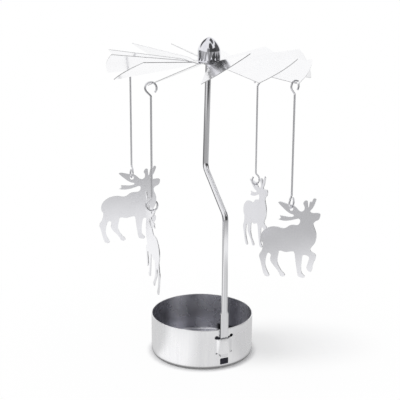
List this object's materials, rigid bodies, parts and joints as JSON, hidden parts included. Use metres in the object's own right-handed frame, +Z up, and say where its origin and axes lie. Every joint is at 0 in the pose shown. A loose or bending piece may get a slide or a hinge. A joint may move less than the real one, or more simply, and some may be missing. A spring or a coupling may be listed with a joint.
{
  "type": "candle carousel",
  "caption": "Rotary tealight holder: steel cup with a clipped bent rod, a turning bladed rotor on a needle, and reindeer figures that hang from wire hooks.",
  "frame": {"origin": "centre of the underside of the cup, on the surface that it stands on", "axes": "+Z up, -Y towards the clip that holds the rod; the figures hang around the rod's upper end"},
  "size_m": [0.104, 0.1077, 0.1706],
  "materials": {
    "cup_steel": "satin drawn steel",
    "rod_steel": "polished round rod",
    "needle_steel": "hardened and ground point",
    "cap_chrome": "mirror chrome",
    "rotor_steel": "mirror bright sheet",
    "hook_wire": "bright drawn wire",
    "figure_steel": "satin sheet"
  },
  "bodies": {
    "stand": {"base_cup": "cup_steel", "stand_rod": "rod_steel", "pivot_needle": "needle_steel"},
    "carousel": {"rotor": "rotor_steel", "bearing_cap": "cap_chrome"},
    "front_left_hook": {"hook_front_left": "hook_wire"},
    "front_right_hook": {"hook_front_right": "hook_wire"},
    "back_right_hook": {"hook_back_right": "hook_wire"},
    "back_left_hook": {"hook_back_left": "hook_wire"},
    "front_left_reindeer": {"reindeer_front_left": "figure_steel"},
    "front_right_reindeer": {"reindeer_front_right": "figure_steel"},
    "back_right_reindeer": {"reindeer_back_right": "figure_steel"},
    "back_left_reindeer": {"reindeer_back_left": "figure_steel"}
  },
  "joints": [
    {"name": "rotor_spin", "type": "hinge", "parent": "stand", "child": "carousel", "pos_m": [0.00274, -0.00123, 0.1701], "axis": [0, 0, 1], "continuous": true},
    {"name": "front_left_hook_swing", "type": "hinge", "parent": "carousel", "child": "front_left_hook", "pos_m": [-0.03987, -0.02886, 0.15279], "axis": [-0.9121, 0.4099, 0], "range_deg": [-20, 20]},
    {"name": "front_right_hook_swing", "type": "hinge", "parent": "carousel", "child": "front_right_hook", "pos_m": [0.02889, -0.04388, 0.15187], "axis": [-0.9409, -0.3387, 0], "range_deg": [-20, 20]},
    {"name": "back_right_hook_swing", "type": "hinge", "parent": "carousel", "child": "back_right_hook", "pos_m": [0.04551, 0.02674, 0.14551], "axis": [0.9711, 0.2385, 0], "range_deg": [-20, 20]},
    {"name": "back_left_hook_swing", "type": "hinge", "parent": "carousel", "child": "back_left_hook", "pos_m": [-0.02442, 0.04147, 0.15268], "axis": [0.5621, 0.8271, 0], "range_deg": [-20, 20]},
    {"name": "front_left_reindeer_swing", "type": "hinge", "parent": "front_left_hook", "child": "front_left_reindeer", "pos_m": [-0.03987, -0.02886, 0.09109], "axis": [0.9871, -0.1599, 0], "range_deg": [-30, 30]},
    {"name": "front_right_reindeer_swing", "type": "hinge", "parent": "front_right_hook", "child": "front_right_reindeer", "pos_m": [0.02889, -0.04388, 0.08887], "axis": [-0.8171, -0.5764, 0], "range_deg": [-30, 30]},
    {"name": "back_right_reindeer_swing", "type": "hinge", "parent": "back_right_hook", "child": "back_right_reindeer", "pos_m": [0.04551, 0.02674, 0.08281], "axis": [-0.9995, 0.0314, 0], "range_deg": [-30, 30]},
    {"name": "back_left_reindeer_swing", "type": "hinge", "parent": "back_left_hook", "child": "back_left_reindeer", "pos_m": [-0.02442, 0.04147, 0.09058], "axis": [-0.2957, -0.9553, 0], "range_deg": [-30, 30]}
  ]
}
